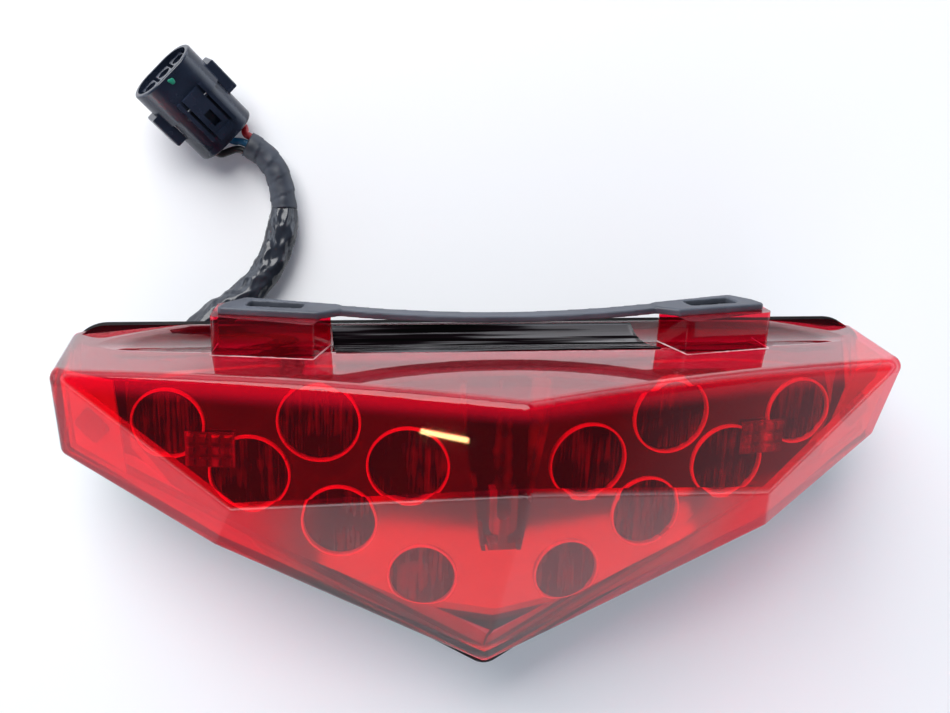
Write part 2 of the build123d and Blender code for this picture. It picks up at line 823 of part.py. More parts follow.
for end, end_name in ((1, "left"), (-1, "right")):
    with BuildPart() as wing:
        with BuildSketch(along_plug(wing_start)):
            with Locations((end * (wing_inner + wing_outer) / 2, 0)):
                Rectangle(wing_outer - wing_inner, 2 * wing_half)
        extrude(amount=wing_end - wing_start)
        outer_face = wing.faces().sort_by(Axis(plug_back, plug.x_dir * end))[-1]
        fillet(outer_face.edges(), radius=0.6)
    wing.part.label = "plug_retainer_" + end_name
    export_step(wing.part, "parts/plug_retainer_" + end_name + ".step")

face_seal_height = 2.2
barrel_start = 7.0
barrel_length = 8.0
tongue_radius = 1.2
wire_seal_length = 5.0

with BuildPart() as plug_seal:
    with BuildSketch(along_plug(plug_length - cavity_depth)):
        SlotOverall(hood_width - 2 * cavity_wall - 0.2, hood_height - 2 * cavity_wall - 0.2)
        with GridLocations(cell_pitch, 1, 3, 1):
            RectangleRounded(cell_width + 0.1, cell_height + 0.1, cell_round, mode=Mode.SUBTRACT)
    extrude(amount=face_seal_height)
plug_seal.part.label = "plug_seal"
export_step(plug_seal.part, "parts/plug_seal.step")

with BuildPart() as plug_terminals:
    with BuildSketch(along_plug(barrel_start)):
        with GridLocations(cell_pitch, 1, 3, 1):
            Circle(cell_radius - 0.05)
    extrude(amount=barrel_length)
    with BuildSketch(along_plug(barrel_start + barrel_length)):
        with GridLocations(cell_pitch, 1, 3, 1):
            Circle(tongue_radius)
    extrude(amount=barrel_length)
plug_terminals.part.label = "plug_terminals"
export_step(plug_terminals.part, "parts/plug_terminals.step")

with BuildPart() as wire_seals:
    with BuildSketch(along_plug(seal_face)):
        with GridLocations(cell_pitch, 1, 3, 1):
            Circle(cell_radius - 0.05)
    extrude(amount=wire_seal_length)
wire_seals.part.label = "wire_seals"
export_step(wire_seals.part, "parts/wire_seals.step")

# ---- the three wires between sleeve and plug -------------------------------------
sleeve_end = lead_route[-1]
end_axis = (sleeve_end - lead_route[-2]).normalized()
end_across = Vector(0, 0, 1).cross(end_axis).normalized()
wire_spread = 2.3
wire_gap = (plug_back - sleeve_end).length

for place, name in ((-1, "wire_red"), (0, "wire_blue"), (1, "wire_black")):
    start = sleeve_end + end_across * (place * wire_spread)
    finish = plug.from_local_coords(Vector(place * cell_pitch, 0, seal_face))
    route = [
        start - end_axis,
        start + end_axis * (0.32 * wire_gap),
        finish - plug_axis * (0.42 * wire_gap),
        finish,
    ]
    wire = tube(route, wire_diameter)
    wire.label = name
    export_step(wire, "parts/" + name + ".step")

# ---- lead inside the tub and its header on the left board ------------------------
header_plane = bezel_plane(-1, board_back)
header_across = -84.0
header_up = 66.0
header_depth = 5.0
header_length = 9.0
header_width = 6.0
inner_diameter = 3.4

with BuildPart() as board_header:
    with BuildSketch(header_plane):
        with Locations((header_across, header_up)):
            RectangleRounded(header_length, header_width, header_width / 12)
    extrude(amount=-header_depth)
board_header.part.label = "board_header"
export_step(board_header.part, "parts/board_header.step")

header_end = header_plane.from_local_coords(Vector(header_across, header_up, -header_depth))
gland_end = lead_exit - lead_axis * gland_length
inner_route = [
    gland_end,
    gland_end + Vector(0.5, -4.5, 3.0),
    header_end - header_plane.z_dir * 11.0,
    header_end,
]
inner_lead = tube(inner_route, inner_diameter)
inner_lead.label = "inner_lead"
export_step(inner_lead, "parts/inner_lead.step")
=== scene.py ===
"""The tail light's looks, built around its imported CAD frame. Metres, unless a comment says otherwise."""

import math

import bpy
from mathutils import Matrix, Vector, noise as value_noise


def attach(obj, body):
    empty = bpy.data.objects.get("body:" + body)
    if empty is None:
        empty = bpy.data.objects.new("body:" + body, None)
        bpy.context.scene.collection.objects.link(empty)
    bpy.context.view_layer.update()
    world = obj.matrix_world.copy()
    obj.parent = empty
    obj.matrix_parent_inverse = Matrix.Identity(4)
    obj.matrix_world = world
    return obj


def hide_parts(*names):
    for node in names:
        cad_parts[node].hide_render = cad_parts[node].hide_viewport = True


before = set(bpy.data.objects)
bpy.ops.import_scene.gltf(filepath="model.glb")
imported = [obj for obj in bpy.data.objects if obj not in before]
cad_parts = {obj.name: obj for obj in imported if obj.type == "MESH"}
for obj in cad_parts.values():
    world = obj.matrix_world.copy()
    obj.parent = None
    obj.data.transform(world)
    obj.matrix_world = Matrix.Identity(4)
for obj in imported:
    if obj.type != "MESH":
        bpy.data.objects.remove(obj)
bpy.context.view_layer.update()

MM = 0.001
SIDES = ((-1, "left"), (1, "right"))
TILT = math.radians(17.9)                                        # the seam plane's lean on the vehicle
UPRIGHT = Vector((0.0, math.cos(TILT), math.sin(TILT)))          # up the vehicle
FORWARD = Vector((0.0, -math.sin(TILT), math.cos(TILT)))         # out of the lens, level with the vehicle
bpy.context.scene.view_settings.view_transform = "Standard"

# Places on the lamp, in millimetres
PROW_TOP = Vector((0.0, 25.1, 101.2))        # foremost point of the top panel
PROW_CREASE = Vector((0.0, 4.5, 97.9))       # where the crease meets the prow
TIP = Vector((0.0, -50.5, 31.0))             # lowest point of the lens
BROW_END = Vector((109.0, 32.5, 61.0))       # outer end of the brow edge
SIDE_END = Vector((110.6, 11.5, 40.0))       # outer end of the side facet's lower edge
EDGE_KINK = Vector((71.0, -10.5, 58.0))      # where the crease turns outwards
SEAM_Z = 33.0                                # height of the seam plane
CROWN_UP = 92.9                              # how far up the top panel lies, at the middle
CROWN_RADIUS = 1100.0                        # its gentle arch
DAMPER_UP = 100.5                            # how far up the rubber damper sits on its blocks


def on_lamp(across, up, back):
    """The point so far across, up the vehicle from the tip and back from it, in millimetres."""
    return Vector((across, TIP.y, SEAM_Z)) + up * UPRIGHT - back * FORWARD


def link(obj):
    """Puts an object into the scene."""
    bpy.context.scene.collection.objects.link(obj)
    return obj


def lamp_piece(name, vertices, faces):
    """A smooth-shaded piece that belongs to the lamp body."""
    mesh = bpy.data.meshes.new(name)
    mesh.from_pydata(vertices, [], faces)
    mesh.shade_smooth()
    piece = link(bpy.data.objects.new(name, mesh))
    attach(piece, "lamp")
    return piece


def slab_faces(columns, rows):
    """The faces of a thin slab whose two layers are grids of points, column after column."""
    wide = rows + 1
    deep = (columns + 1) * wide
    faces = []
    for layer in (0, 1):
        for column in range(columns):
            for row in range(rows):
                corner = layer * deep + column * wide + row
                faces.append((corner, corner + 1, corner + wide + 1, corner + wide))
    for row in range(rows):
        for start in (row, columns * wide + row):
            faces.append((start, start + 1, start + 1 + deep, start + deep))
    for column in range(columns):
        for start in (column * wide, column * wide + rows):
            faces.append((start, start + wide, start + wide + deep, start + deep))
    return faces


# ---- camera ---------------------------------------------------------------------
CAMERA_PLACE = (-0.0509, 0.0403, 0.3584)
CAMERA_RIGHT = (0.9889, -0.0103, 0.1485)
CAMERA_DOWN = (-0.0129, -0.9998, 0.0163)


def add_camera():
    """A camera close above the lens, a little to its left, square to the ground."""
    data = bpy.data.cameras.new("camera")
    data.sensor_width = 36.0
    data.lens = 45.47
    data.clip_start = 0.01
    data.clip_end = 10.0
    camera = link(bpy.data.objects.new("camera", data))
    right = Vector(CAMERA_RIGHT).normalized()
    down = Vector(CAMERA_DOWN)
    down = (down - right * down.dot(right)).normalized()
    ahead = right.cross(down)
    turn = Matrix((right, -down, -ahead)).transposed()
    camera.matrix_world = Matrix.Translation(CAMERA_PLACE) @ turn.to_4x4()
    bpy.context.scene.camera = camera


add_camera()


# ---- the lead -------------------------------------------------------------------
LEAD_ROUTE = [
    (-82.0, 36.5, 8.0), (-77.5, 44.5, 6.4), (-65.5, 51.0, 5.0), (-57.0, 61.5, 5.0),
    (-53.0, 74.5, 5.0), (-54.5, 87.0, 5.0), (-59.0, 93.7, 5.0), (-63.6, 96.0, 5.0),
]
TAPE_START = 0.70          # share of the lead's length where the tape wrap begins


def smooth_line(route, resolution=16):
    """Points along the NURBS spline whose control points are the route, in millimetres."""
    data = bpy.data.curves.new("lead_line", "CURVE")
    data.dimensions = "3D"
    spline = data.splines.new("NURBS")
    spline.points.add(len(route) - 1)
    for point, place in zip(spline.points, route):
        point.co = (*(value * MM for value in place), 1.0)
    spline.order_u = 3
    spline.use_endpoint_u = True
    spline.resolution_u = resolution
    line = link(bpy.data.objects.new("lead_line", data))
    bpy.context.view_layer.update()
    mesh = bpy.data.meshes.new_from_object(line)
    points = [vertex.co.copy() for vertex in mesh.vertices]
    bpy.data.objects.remove(line)
    return points


def even_points(points, step):
    """The same line, with a point every step."""
    lengths = [0.0]
    for before, after in zip(points, points[1:]):
        lengths.append(lengths[-1] + (after - before).length)
    count = max(2, round(lengths[-1] / step))
    result = []
    place = 0
    for index in range(count + 1):
        target = lengths[-1] * index / count
        while place < len(points) - 2 and lengths[place + 1] < target:
            place += 1
        span = lengths[place + 1] - lengths[place]
        share = (target - lengths[place]) / span if span else 0.0
        result.append(points[place].lerp(points[place + 1], share))
    return result


def sleeve_of(name, points, radius_at, around=72):
    """A closed tube round the points; radius_at(share, angle) gives its radius in metres."""
    normal = Vector((0, 0, 1))
    vertices = []
    faces = []
    last = len(points) - 1
    for index, point in enumerate(points):
        ahead = (points[min(index + 1, last)] - points[max(index - 1, 0)]).normalized()
        normal = (normal - ahead * normal.dot(ahead)).normalized()
        across = ahead.cross(normal)
        for turn in range(around):
            angle = 2 * math.pi * turn / around
            radius = radius_at(index / last, angle)
            vertices.append(point + (across * math.cos(angle) + normal * math.sin(angle)) * radius)
    for index in range(last):
        for turn in range(around):
            after = (turn + 1) % around
            first, second = index * around, (index + 1) * around
            faces.append((first + turn, first + after, second + after, second + turn))
    faces.append(tuple(reversed(range(around))))
    faces.append(tuple(last * around + turn for turn in range(around)))
    return lamp_piece(name, vertices, faces)


def around_spot(share, angle, along, reach):
    """Where a point of the tube samples the noise: so far along, and on a ring of that reach."""
    return Vector((share * along, reach * math.cos(angle), reach * math.sin(angle)))


def vinyl_radius(share, angle):
    """The crinkled sleeve: slack folds on the lead, drawn in under the tape."""
    slack = 4.35 * MM
    under_tape = 3.1 * MM
    neck = 0.06                # share of the length over which the sleeve is drawn in
    fold_depth = 0.8           # this and the next two in millimetres
    crease_depth = 0.35
    hollow = 0.55              # how far the sleeve sinks between its folds
    crease_scale = 2.3         # creases are this much finer than folds
    crease_shift = Vector((5.0, 1.0, 2.0))
    flattened = 0.10           # how much it lies flat on the floor
    drawn = min(1.0, max(0.0, (share - TAPE_START + neck / 2) / neck))
    spot = around_spot(share, angle, 11.0, 1.1)
    fold = 1.0 - 2.0 * abs(value_noise.noise(spot))
    crease = abs(value_noise.noise(spot * crease_scale + crease_shift))
    wrinkle = (fold_depth * fold - hollow - crease_depth * crease) * MM
    flat = 1.0 - flattened * math.sin(angle) ** 2
    return (slack * (1 - drawn) + under_tape * drawn + wrinkle * (1 - drawn)) * flat


def tape_radius(share, angle):
    """Tape wound in a spiral: each turn overlaps the one before."""
    turns = 4.5
    core = 3.45 * MM
    overlap = 0.28 * MM
    unevenness = 0.25 * MM
    along = (share * turns + angle / (2 * math.pi)) % 1.0
    ridge = overlap * (1.0 - along) ** 0.7
    return core + ridge + unevenness * value_noise.noise(around_spot(share, angle, 9.0, 1.3))


lead_points = even_points(smooth_line(LEAD_ROUTE), 0.45 * MM)
vinyl_sleeve = sleeve_of("vinyl_sleeve", lead_points, vinyl_radius)
tape_first = round(TAPE_START * (len(lead_points) - 1))
tape_wrap = sleeve_of("tape_wrap", lead_points[tape_first:], tape_radius)
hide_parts("harness_sleeve")


# ---- reflector skirts, and rim bands dimmed as painted shade --------------------
# Lower edge of the carrier plate, and the lens rim below it, in millimetres
SKIRT_TOP = [(0.6, -38.2, 44.4), (51.4, -14.4, 44.0), (75.2, -0.5, 44.8), (91.0, 10.4, 45.9)]
SKIRT_RIM = [(0.3, -45.6, 30.6), (62.7, -11.0, 30.6), (88.9, 3.6, 30.6), (105.2, 12.9, 30.6)]


def skirt(side, first, last, name):
    """A thin sagging skirt from the plate's lower edge to the lens rim, between two of their corners."""
    columns = 24
    rows = 10
    thickness = 0.5 * MM
    sag = 1.6 * MM
    vertices = []
    for layer in (0, 1):
        for column in range(columns + 1):
            place = first + (last - first) * column / columns
            index = min(int(place), len(SKIRT_TOP) - 2)
            share = place - index
            top = Vector(SKIRT_TOP[index]).lerp(Vector(SKIRT_TOP[index + 1]), share) * MM
            rim = Vector(SKIRT_RIM[index]).lerp(Vector(SKIRT_RIM[index + 1]), share) * MM
            for row in range(rows + 1):
                drop = row / rows
                point = top.lerp(rim, drop)
                point.z -= sag * math.sin(math.pi * drop) + layer * thickness
                point.x *= side
                vertices.append(point)
    return lamp_piece(name, vertices, slab_faces(columns, rows))


skirts = [skirt(side, 1, 3, "reflector_skirt_" + end) for side, end in SIDES]
# The rim bands are the skirt's inner stretch in a dimmer metal: painted shade over the V of the lower
# facets
shaded_rim_bands = [skirt(side, 0, 1, "rim_band_" + end) for side, end in SIDES]


# ---- dark sheet in the channel, painted shade -----------------------------------
def channel_shade_sheet(name):
    """A thin black sheet laid on the hollow behind the top panel, painted shade where the hollow lies in
    shadow, sizes in millimetres.
    """
    half = 41.0                # half its breadth
    top = 66.6                 # height of its upper edge in the middle
    bottom = 36.0              # height of its lower edge
    arch_radius = 338.0        # bend of its upper edge
    thickness = 0.3
    behind = 62.0              # the rays that find the hollow start here
    columns = 52
    rows = 26
    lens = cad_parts["outer_lens"]
    inside = lens.matrix_world.inverted()
    outer = []
    for column in range(columns + 1):
        across = half * (2 * column / columns - 1)
        highest = top - across * across / (2 * arch_radius)
        for row in range(rows + 1):
            height = highest + (bottom - highest) * row / rows
            start = Vector((across, behind, height)) * MM
            hit, place, _, _ = lens.ray_cast(inside @ start, Vector((0, -1, 0)))
            outer.append(lens.matrix_world @ place if hit else start)
    vertices = [point + Vector((0, thickness * MM, 0)) for point in outer] + outer
    return lamp_piece(name, vertices, slab_faces(columns, rows))


shade_sheet = channel_shade_sheet("channel_shade_sheet")


# ---- paint mark, slot floors darkened as painted shade, and dust ----------------
def paint_mark(name, centre, radius):
    """An inspector's dab of paint, laid on the plug from above, sizes in millimetres."""
    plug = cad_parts["plug_housing"]
    inside = plug.matrix_world.inverted()
    above = 60.0               # the rays that find the plug start here
    thickness = 0.22
    sunk = 0.05                # the dab's underside lies this far in the plug
    oval = 0.75                # its depth from front to back, as a share of its breadth
    ragged = 0.5
    fullness = 1.02            # over 1 leaves the dab a little thickness at its edge
    around = 20
    rings = 5

    def on_plug(across, back, thick):
        start = Vector((across, back, above)) * MM
        hit, place, _, _ = plug.ray_cast(inside @ start, Vector((0, 0, -1)))
        place = plug.matrix_world @ place if hit else start
        return place + Vector((0, 0, thick * MM))

    top = [on_plug(centre[0], centre[1], thickness)]
    low = [on_plug(centre[0], centre[1], -sunk)]
    for ring in range(1, rings + 1):
        share = ring / rings
        for turn in range(around):
            angle = 2 * math.pi * turn / around
            wobble = value_noise.noise(Vector((math.cos(angle), math.sin(angle), 3.0)))
            reach = radius * share * (1.0 + ragged * wobble)
            across = centre[0] + reach * math.cos(angle)
            back = centre[1] + oval * reach * math.sin(angle)
            domed = thickness * math.sqrt(fullness - share ** 2)
            top.append(on_plug(across, back, domed))
            low.append(on_plug(across, back, -sunk))
    faces = []
    for base, flip in ((0, False), (len(top), True)):
        for turn in range(around):
            after = (turn + 1) % around
            face = (base, base + 1 + turn, base + 1 + after)
            faces.append(tuple(reversed(face)) if flip else face)
        for ring in range(rings - 1):
            inner = base + 1 + ring * around
            outer = inner + around
            for turn in range(around):
                after = (turn + 1) % around
                face = (inner + turn, outer + turn, outer + after, inner + after)
                faces.append(tuple(reversed(face)) if flip else face)
    edge = 1 + (rings - 1) * around
    for turn in range(around):
        after = (turn + 1) % around
        faces.append((edge + turn, len(top) + edge + turn, len(top) + edge + after, edge + after))
    return lamp_piece(name, top + low, faces)


mark = paint_mark("paint_mark", (-83.1, 110.0), 1.0)

# Corners of a damper slot's floor, across and back, in millimetres
SLOT_FLOOR = [(49.4, 1.1), (62.8, 3.6), (61.6, 8.4), (48.2, 5.4)]


def slot_shade_sheet(side, name):
    """A dark sheet on the floor of a damper slot, painted shade in the slot, dished towards its middle,
    sizes in millimetres.
    """
    raised = 0.3
    thickness = 0.6
    dish = 0.25
    middle_dish = 0.3
    steps = 6
    top = [on_lamp(side * across, DAMPER_UP + raised, back) for across, back in SLOT_FLOOR]
    centre = sum(top, Vector()) / len(top)
    ring = []
    for first, second in zip(top, top[1:] + top[:1]):
        ring += [first.lerp(second, step / steps) for step in range(steps)]
    inner = [point.lerp(centre, 0.5) - UPRIGHT * dish for point in ring]
    below = [point - UPRIGHT * thickness for point in ring]
    vertices = [point * MM for point in below + ring + inner + [centre - UPRIGHT * middle_dish]]
    count = len(ring)
    faces = [tuple(reversed(range(count)))]
    for index in range(count):
        after = (index + 1) % count
        faces.append((index, after, count + after, count + index))
        faces.append((count + index, count + after, 2 * count + after, 2 * count + index))
        faces.append((2 * count + index, 2 * count + after, 3 * count))
    return lamp_piece(name, vertices, faces)


# dark sheets in the damper slots: painted shade
slot_shade_sheets = [slot_shade_sheet(side, "slot_shade_sheet_" + end) for side, end in SIDES]

# Where a block's foot meets the top panel, across and back, in millimetres
BLOCK_FOOT = [(41.9, 3.6), (46.6, -7.2), (71.5, 0.9), (69.9, 10.0)]


def dust_bead(side, name):
    """A fine uneven bead of dust round the foot of a block, sizes in millimetres."""
    radius = 0.22
    usual = 0.75               # its usual thickness, as a share of the radius
    lumps = 0.6
    path = [
        on_lamp(side * across, CROWN_UP - across * across / (2 * CROWN_RADIUS), back) * MM
        for across, back in BLOCK_FOOT
    ]

    def rough_radius(share, angle):
        spot = around_spot(share, angle, 40.0, 1.0)
        return radius * MM * (usual + lumps * value_noise.noise(spot))

    return sleeve_of(name, even_points(path, 0.5 * MM), rough_radius, around=8)


dust_beads = [dust_bead(side, "dust_bead_" + end) for side, end in SIDES]


# ---- rubber damper --------------------------------------------------------------
def moulded_copy(node, name, grain, rounds):
    """A softly rounded moulding in the shape of a CAD node."""
    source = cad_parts[node]
    piece = link(bpy.data.objects.new(name, source.data.copy()))
    piece.matrix_world = source.matrix_world.copy()
    remesh = piece.modifiers.new("remesh", "REMESH")
    remesh.mode = "VOXEL"
    remesh.voxel_size = grain
    smooth = piece.modifiers.new("smooth", "SMOOTH")
    smooth.factor = 0.6
    smooth.iterations = rounds
    bpy.context.view_layer.update()
    soft = bpy.data.meshes.new_from_object(
        piece.evaluated_get(bpy.context.evaluated_depsgraph_get())
    )
    piece.modifiers.clear()
    piece.data = soft
    soft.name = name
    soft.shade_smooth()
    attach(piece, "lamp")
    return piece


soft_damper = moulded_copy("rubber_damper", "moulded_damper", 0.3 * MM, 5)
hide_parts("rubber_damper")


# ---- material helpers -----------------------------------------------------------
class Finish:
    """A Principled material, and the node steps that feed it."""

    def __init__(self, name, color, roughness, **sockets):
        self.material = bpy.data.materials.new(name)
        self.material.use_nodes = True
        self.nodes = self.material.node_tree.nodes
        self.links = self.material.node_tree.links
        self.shader = self.nodes["Principled BSDF"]
        self.shader.inputs["Base Color"].default_value = (*color, 1.0)
        self.shader.inputs["Roughness"].default_value = roughness
        for socket, value in sockets.items():
            self.shader.inputs[socket.replace("_", " ")].default_value = value

    def feed(self, value, socket):
        """Joins a value to a socket of the shader."""
        self.links.new(value, self.shader.inputs[socket])

    def noise(self, scale, detail=4.0, rough=0.55, stretch=(1, 1, 1)):
        """A noise factor in object space."""
        where = self.nodes.new("ShaderNodeTexCoord")
        mapping = self.nodes.new("ShaderNodeMapping")
        mapping.inputs["Scale"].default_value = stretch
        texture = self.nodes.new("ShaderNodeTexNoise")
        texture.inputs["Scale"].default_value = scale
        texture.inputs["Detail"].default_value = detail
        texture.inputs["Roughness"].default_value = rough
        self.links.new(where.outputs["Object"], mapping.inputs["Vector"])
        self.links.new(mapping.outputs["Vector"], texture.inputs["Vector"])
        return texture.outputs["Fac"]

    def ramp(self, factor, low, high, start=0.35, end=0.65):
        """A colour between low and high as the factor goes from start to end."""
        node = self.nodes.new("ShaderNodeValToRGB")
        node.color_ramp.elements[0].position = start
        node.color_ramp.elements[0].color = (*low, 1.0)
        node.color_ramp.elements[1].position = end
        node.color_ramp.elements[1].color = (*high, 1.0)
        self.links.new(factor, node.inputs["Fac"])
        return node.outputs["Color"]

    def ruled(self, value, start, end, low, high, shape="SMOOTHSTEP"):
        """A number that goes from low to high as the value goes from start to end."""
        node = self.nodes.new("ShaderNodeMapRange")
        node.interpolation_type = shape
        node.inputs["From Min"].default_value = start
        node.inputs["From Max"].default_value = end
        node.inputs["To Min"].default_value = low
        node.inputs["To Max"].default_value = high
        self.links.new(value, node.inputs["Value"])
        return node.outputs["Result"]

    def spread(self, factor, low, high):
        """A number between low and high that follows a noise factor."""
        return self.ruled(factor, 0.3, 0.7, low, high, "LINEAR")

    def joined(self, first, second, operation):
        """Two numbers put together; either may be a socket or a constant."""
        node = self.nodes.new("ShaderNodeMath")
        node.operation = operation
        for place, value in enumerate((first, second)):
            if isinstance(value, float):
                node.inputs[place].default_value = value
            else:
                self.links.new(value, node.inputs[place])
        return node.outputs["Value"]

    def vector(self, operation, first, second=None):
        """A vector step on a socket and, where it needs one, a constant."""
        node = self.nodes.new("ShaderNodeVectorMath")
        node.operation = operation
        self.links.new(first, node.inputs[0])
        if second is not None:
            node.inputs[1].default_value = second
        return node.outputs

    def dotted(self, vector, direction):
        """The part of a vector that lies along a direction."""
        return self.vector("DOT_PRODUCT", vector, direction)["Value"]

    def facing(self, normal, direction):
        """How squarely a face looks in a direction, or in its mirror image across the lamp."""
        mirror_image = Vector((-direction.x, direction.y, direction.z))
        return self.joined(
            self.dotted(normal, direction), self.dotted(normal, mirror_image), "MAXIMUM",
        )

    def bump(self, factor, strength, depth, socket="Normal"):
        """Relief from a factor, depth in metres."""
        node = self.nodes.new("ShaderNodeBump")
        node.inputs["Strength"].default_value = strength
        node.inputs["Distance"].default_value = depth
        self.links.new(factor, node.inputs["Height"])
        self.feed(node.outputs["Normal"], socket)


def plain_finish(name, low, high, roughness, grain, depth=0.00002, strength=0.3, **sockets):
    """A moulded or rubber finish: mottled colour, uneven gloss and a fine grain."""
    mottle_scale = 0.12        # the mottle is this much coarser than the grain
    finish = Finish(name, high, roughness[0], **sockets)
    mottle = finish.noise(grain * mottle_scale)
    fine = finish.noise(grain)
    finish.feed(finish.ramp(mottle, low, high), "Base Color")
    finish.feed(finish.spread(mottle, *roughness), "Roughness")
    finish.bump(fine, strength, depth)
    return finish.material


def fluted_finish(name, low, high, scale):
    """Fluted optic: dark, with painted highlights in fine streaks down the flutes."""
    highlight_streak_band = (0.22, 0.40)         # noise values between which a painted highlight streak comes up
    finish = Finish(name, low, 0.15, Metallic=0.6)
    streak = finish.noise(scale, detail=1.0, stretch=(1.0, 0.05, 0.05))
    patch = finish.noise(110.0, detail=2.0)
    both = finish.joined(streak, patch, "MULTIPLY")
    finish.feed(finish.ramp(both, low, high, *highlight_streak_band), "Base Color")
    finish.bump(streak, 0.4, 0.0003)
    return finish.material


def streaked_finish(name, low, high):
    """Black, shiny in long streaks and dull between them: the sheets of painted shade in hollows."""
    shiny = (0.45, 0.60)       # noise values between which the rubber turns shiny
    finish = Finish(name, low, 0.5)
    streak = finish.noise(300.0, detail=2.0, stretch=(0.06, 1.0, 1.0))
    finish.feed(finish.ramp(streak, low, high), "Base Color")
    finish.feed(finish.ruled(streak, *shiny, 0.70, 0.10), "Roughness")
    finish.feed(finish.ruled(streak, *shiny, 0.0, 0.5), "Specular IOR Level")
    finish.bump(streak, 0.3, 0.0002)
    return finish.material


# ---- the lens -------------------------------------------------------------------
def facet_normal(first, second, third):
    """The outward normal of the facet through three corners."""
    normal = (second - first).cross(third - first).normalized()
    return normal if normal.z > 0 else -normal


SIDE_FACET = facet_normal(BROW_END, SIDE_END, EDGE_KINK)
LOWER_FACET = facet_normal(PROW_CREASE, TIP, EDGE_KINK)
LENS_RED = (0.88, 0.004, 0.034)
# pale red of the dust, and of the painted reflection on the top panel
DUST_AND_SHEEN_RED = (0.92, 0.50, 0.53)
SHADOW_TINT = (0.90, 0.78, 0.83)     # what the lens leaves of the light on its way to the floor
CLEAR_CLOUD = 0.012                  # cloudiness of the clear plastic
RIM_PAINTED_GLOW = 0.75                     # painted glow of its rim, as cloudiness
BROW_PAINTED_GLOW = 0.22                    # painted glow of the thick brow edge, as cloudiness
WEDGE_PAINTED_GLOW = 0.26                   # painted glow of the side facets and the outer ends of the lower ones
LENS_GLOSS = 1.37                    # index of refraction of the glossy skin
PANEL_GLOSS = 1.9                    # and on the top panel
SIDE_DULLING = 0.08                  # how much lower it is on the side facets
LOWER_DULLING = 0.18                 # and on the outer ends of the lower ones

# What follows fades between two heights, places or distances in metres; sideways is x squared
RIM_HEIGHTS = (0.0300, 0.0350)
RIM_PLACES = (0.032, 0.040)          # from front to back
BROW_DISTANCES = (0.0015, 0.0060)    # from the brow edge
CROWN_LEVELS = (0.0541, 0.0548)      # up the vehicle
LOWER_SIDEWAYS = (0.0016, 0.0044)    # where the outer ends of the lower facets begin
REAR_CURVE = (0.0020, 0.0028)        # the rear edge comes forward by the second at the first, sideways
REAR_EDGE = (0.0525, 0.0560)         # forward of the panel's rear edge
REAR_SIDEWAYS = (0.0017, 0.0022)     # where the thick dust ends

# How squarely a face must look in a direction, from not at all to fully
ON_FACET = (0.965, 0.99)
ON_PANEL = (0.90, 0.99)


def haze_and_painted_rim_glow(finish, place):
    """The lens's cloudiness with a painted glow on the rim: low on the lens and in front of its ends, place
    being the split position.
    """
    low = finish.ruled(place["Z"], *RIM_HEIGHTS, 1.0, 0.0)
    front = finish.ruled(place["Y"], *RIM_PLACES, 1.0, 0.0)
    return finish.ruled(finish.joined(low, front, "MULTIPLY"), 0.0, 1.0, CLEAR_CLOUD, RIM_PAINTED_GLOW)


def painted_brow_glow(finish, where):
    """How strong the painted glow of the thick brow edge is: highest on the edge itself."""
    along = (BROW_END - PROW_TOP).normalized()
    right_half = finish.vector("ABSOLUTE", where)["Vector"]
    offset = finish.vector("SUBTRACT", right_half, PROW_TOP * MM)["Vector"]
    across = finish.vector("CROSS_PRODUCT", offset, along)["Vector"]
    distance = finish.vector("LENGTH", across)["Value"]
    return finish.ruled(distance, *BROW_DISTANCES, BROW_PAINTED_GLOW, 0.0)


def panel_mask(finish, where, normal, sideways):
    """The top panel: faces up the vehicle and lies on the crown."""
    widest = 0.110
    fall = widest ** 2 / (2 * CROWN_RADIUS * MM)
    arch = finish.ruled(sideways, 0.0, widest ** 2, 0.0, fall, "LINEAR")
    level = finish.joined(finish.dotted(where, UPRIGHT), arch, "ADD")
    on_crown = finish.ruled(level, *CROWN_LEVELS, 0.0, 1.0)
    upward = finish.ruled(finish.dotted(normal, UPRIGHT), *ON_PANEL, 0.0, 1.0)
    return finish.joined(on_crown, upward, "MULTIPLY")


def dust_and_sheen_mask(finish, where, sideways):
    """A thin pale haze all over the top panel, partly dust and partly painted reflection, and thick dust
    along the middle of its rear edge.
    """
    specks = finish.noise(1100.0, detail=6.0, rough=0.75)
    thin_dust_and_sheen = finish.ruled(specks, 0.35, 0.75, 0.06, 0.22)
    curve = finish.ruled(sideways, 0.0, REAR_CURVE[0], 0.0, REAR_CURVE[1], "LINEAR")
    forward = finish.joined(finish.dotted(where, FORWARD), curve, "ADD")
    rear_edge = finish.joined(
        finish.ruled(forward, *REAR_EDGE, 0.55, 0.0),
        finish.ruled(sideways, *REAR_SIDEWAYS, 1.0, 0.0), "MULTIPLY",
    )
    thick_dust = finish.joined(finish.ruled(specks, 0.38, 0.66, 0.1, 1.0), rear_edge, "MULTIPLY")
    return finish.joined(thin_dust_and_sheen, thick_dust, "MAXIMUM")


